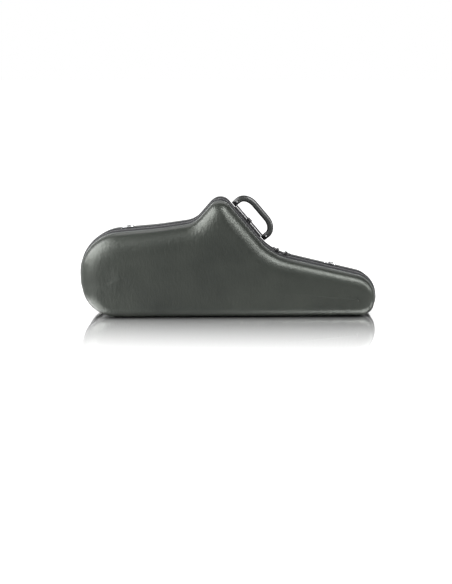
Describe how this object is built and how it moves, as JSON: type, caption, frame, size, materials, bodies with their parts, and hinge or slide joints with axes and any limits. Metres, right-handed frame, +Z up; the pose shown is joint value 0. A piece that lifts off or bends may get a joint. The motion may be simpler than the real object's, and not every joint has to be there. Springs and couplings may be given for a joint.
{
  "type": "tenor saxophone case",
  "caption": "Shaped two-shell case for a tenor saxophone, closed by a zip round its seam, with foam fitting, looped handle and strap rings.",
  "frame": {"origin": "centre of the case's footprint, on the surface that it stands on", "axes": "+X towards the neck end, +Y towards the rear shell, +Z up"},
  "size_m": [0.842, 0.207, 0.3334],
  "materials": {
    "cover": "satin grained leathercloth",
    "piping": "satin piping cord",
    "velvet": "velvet over foam",
    "woven_band": "woven nylon",
    "zip_tape": "woven zip tape",
    "zip_coil": "moulded nylon coil",
    "black_plastic": "satin moulded",
    "grip": "satin soft grip",
    "bright_steel": "bright"
  },
  "bodies": {
    "rear": {"shell_rear": "cover", "liner_rear": "velvet", "island_rear": "velvet", "saddle_rear": "velvet", "end_block_rear": "velvet", "collar_rear": "woven_band", "piping_rear": "piping", "zip_tape_rear": "zip_tape", "zip_coil_rear": "zip_coil", "hinge_leaf_rear": "woven_band", "handle_base": "black_plastic", "handle_rod": "bright_steel", "base_screw_upper": "bright_steel", "base_screw_lower": "bright_steel", "ring_saddle_bow": "bright_steel", "ring_saddle_neck": "bright_steel", "saddle_rivet_bow": "bright_steel", "saddle_rivet_neck": "bright_steel"},
    "lid": {"shell_front": "cover", "liner_front": "velvet", "island_front": "velvet", "saddle_front": "velvet", "end_block_front": "velvet", "collar_front": "woven_band", "piping_front": "piping", "zip_tape_front": "zip_tape", "zip_coil_front": "zip_coil", "hinge_leaf_front": "woven_band"},
    "handle": {"handle_loop": "grip", "handle_foot_upper": "black_plastic", "handle_foot_lower": "black_plastic", "foot_rivet_upper": "bright_steel", "foot_rivet_lower": "bright_steel"},
    "ring_bow": {"strap_ring_bow": "bright_steel"},
    "ring_neck": {"strap_ring_neck": "bright_steel"},
    "slider_upper": {"slider_upper": "black_plastic"},
    "pull_upper": {"pull_upper": "black_plastic"},
    "slider_lower": {"slider_lower": "black_plastic"},
    "pull_lower": {"pull_lower": "black_plastic"}
  },
  "joints": [
    {"name": "lid_hinge", "type": "hinge", "parent": "rear", "child": "lid", "pos_m": [0, -0.009, 0], "axis": [1, 0, 0], "range_deg": [0, 172]},
    {"name": "handle_swing", "type": "hinge", "parent": "rear", "child": "handle", "pos_m": [0.06018, 0.0128, 0.2621], "axis": [0.6435, 0, -0.7654], "range_deg": [-70, 50]},
    {"name": "ring_bow_swing", "type": "hinge", "parent": "rear", "child": "ring_bow", "pos_m": [-0.28634, 0.0143, 0.24321], "axis": [0, -1, 0], "range_deg": [0, 150]},
    {"name": "ring_neck_swing", "type": "hinge", "parent": "rear", "child": "ring_neck", "pos_m": [0.28877, 0.0143, 0.13943], "axis": [0, -1, 0], "range_deg": [0, 150]},
    {"name": "slider_upper_run", "type": "hinge", "parent": "rear", "child": "slider_upper", "pos_m": [0.2067, -0.009, 0.3091], "axis": [0, 1, 0], "range_deg": [0, 8]},
    {"name": "pull_upper_swing", "type": "hinge", "parent": "slider_upper", "child": "pull_upper", "pos_m": [0.14095, -0.009, 0.18197], "axis": [0, 1, 0], "range_deg": [0, 120]},
    {"name": "slider_lower_run", "type": "slide", "parent": "rear", "child": "slider_lower", "axis": [0.9738, 0, -0.2273], "range_m": [0, 0.15]},
    {"name": "pull_lower_swing", "type": "hinge", "parent": "slider_lower", "child": "pull_lower", "pos_m": [0.16391, -0.009, 0.17286], "axis": [0, -1, 0], "range_deg": [0, 120]}
  ]
}
